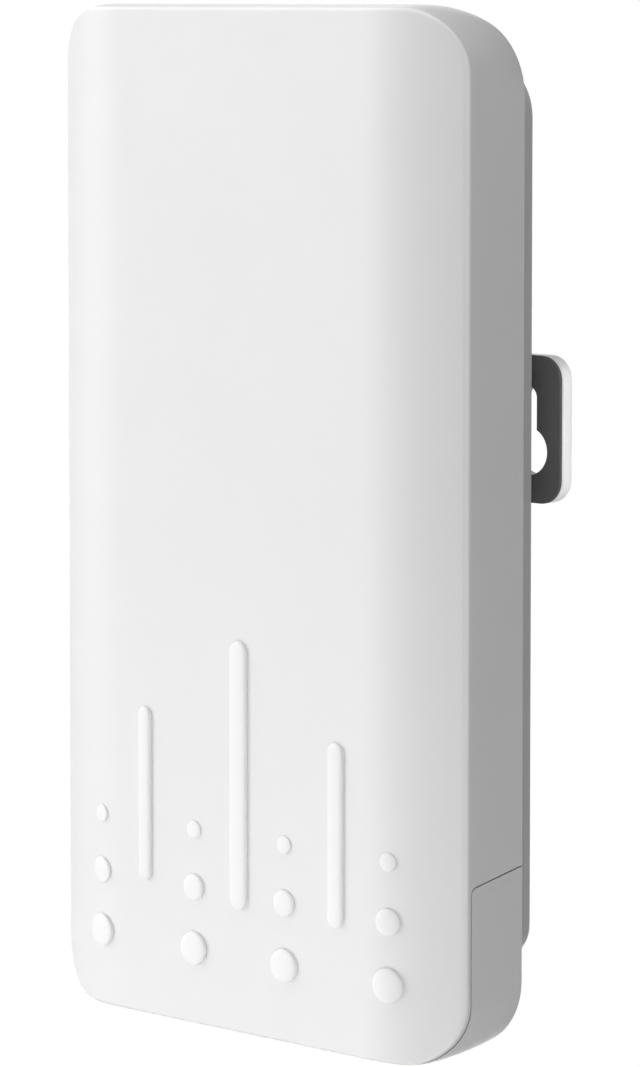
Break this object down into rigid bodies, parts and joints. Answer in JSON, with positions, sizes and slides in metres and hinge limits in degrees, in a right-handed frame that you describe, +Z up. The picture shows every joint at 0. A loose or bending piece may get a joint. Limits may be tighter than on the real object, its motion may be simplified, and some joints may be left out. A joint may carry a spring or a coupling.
{
  "type": "outdoor wireless bridge",
  "caption": "Upright outdoor wireless bridge with a bowed white housing, raised bars and dots, a slide-off port cover and a keyhole wall plate.",
  "frame": {"origin": "middle of the wall plate's back face, where the unit meets the wall", "axes": "+Z up, the bowed front face looks along -Y, the wall lies on the +Y side, +X to the right seen from the front"},
  "size_m": [0.1138, 0.0426, 0.2162],
  "materials": {
    "white_plastic": "fine satin moulded",
    "dark_rubber": "matte sheet",
    "seal_rubber": "moulded matte",
    "board_green": "solder mask",
    "feed_laminate": "bare laminate",
    "zinc_steel": "zinc plated",
    "tin_plate": "tinned sheet",
    "aluminium": "rolled sheet",
    "plated_copper": "plated",
    "black_plastic": "moulded",
    "natural_nylon": "moulded",
    "clear_plastic": "polished clear",
    "thermal_silicone": "soft matte",
    "coax_jacket": "extruded jacket"
  },
  "bodies": {
    "housing": {"front_shell": "white_plastic", "rear_shell": "white_plastic", "shell_gasket": "seal_rubber", "wall_bracket": "white_plastic", "bracket_pad": "dark_rubber", "shell_screw_1": "zinc_steel", "shell_screw_2": "zinc_steel", "shell_screw_3": "zinc_steel", "shell_screw_4": "zinc_steel", "shell_screw_5": "zinc_steel", "shell_screw_6": "zinc_steel", "bracket_screw_1": "zinc_steel", "bracket_screw_2": "zinc_steel", "main_pcb": "board_green", "pcb_screw_1": "zinc_steel", "pcb_screw_2": "zinc_steel", "pcb_screw_3": "zinc_steel", "pcb_screw_4": "zinc_steel", "lan_jack_poe": "tin_plate", "lan_jack_data": "tin_plate", "reset_switch": "black_plastic", "mode_switch_body": "black_plastic", "led_light_guide": "clear_plastic", "radio_shield": "tin_plate", "processor_shield": "tin_plate", "thermal_pad": "thermal_silicone", "heat_spreader": "aluminium", "lan_transformer": "black_plastic", "filter_capacitor": "black_plastic", "feed_board": "feed_laminate", "antenna_reflector": "aluminium", "antenna_screw_1": "zinc_steel", "antenna_screw_2": "zinc_steel", "antenna_screw_3": "zinc_steel", "antenna_screw_4": "zinc_steel", "antenna_patch_1": "plated_copper", "antenna_patch_2": "plated_copper", "antenna_patch_3": "plated_copper", "antenna_patch_4": "plated_copper", "patch_post_1": "natural_nylon", "patch_post_2": "natural_nylon", "patch_post_3": "natural_nylon", "patch_post_4": "natural_nylon", "board_connector_left": "plated_copper", "board_connector_right": "plated_copper", "coax_left": "coax_jacket", "coax_right": "coax_jacket"},
    "port_cover": {"port_cover": "white_plastic", "cable_grommet": "seal_rubber"},
    "reset_button": {"reset_button": "black_plastic"},
    "mode_slider": {"mode_switch_slider": "natural_nylon"}
  },
  "joints": [
    {"name": "port_cover_slide", "type": "slide", "parent": "housing", "child": "port_cover", "axis": [0, 0, -1], "range_m": [0, 0.045]},
    {"name": "reset_press", "type": "slide", "parent": "housing", "child": "reset_button", "axis": [0, 0, 1], "range_m": [0, 0.0008], "stiffness_N_per_m": 800},
    {"name": "mode_select", "type": "slide", "parent": "housing", "child": "mode_slider", "axis": [1, 0, 0], "range_m": [0, 0.002]}
  ]
}
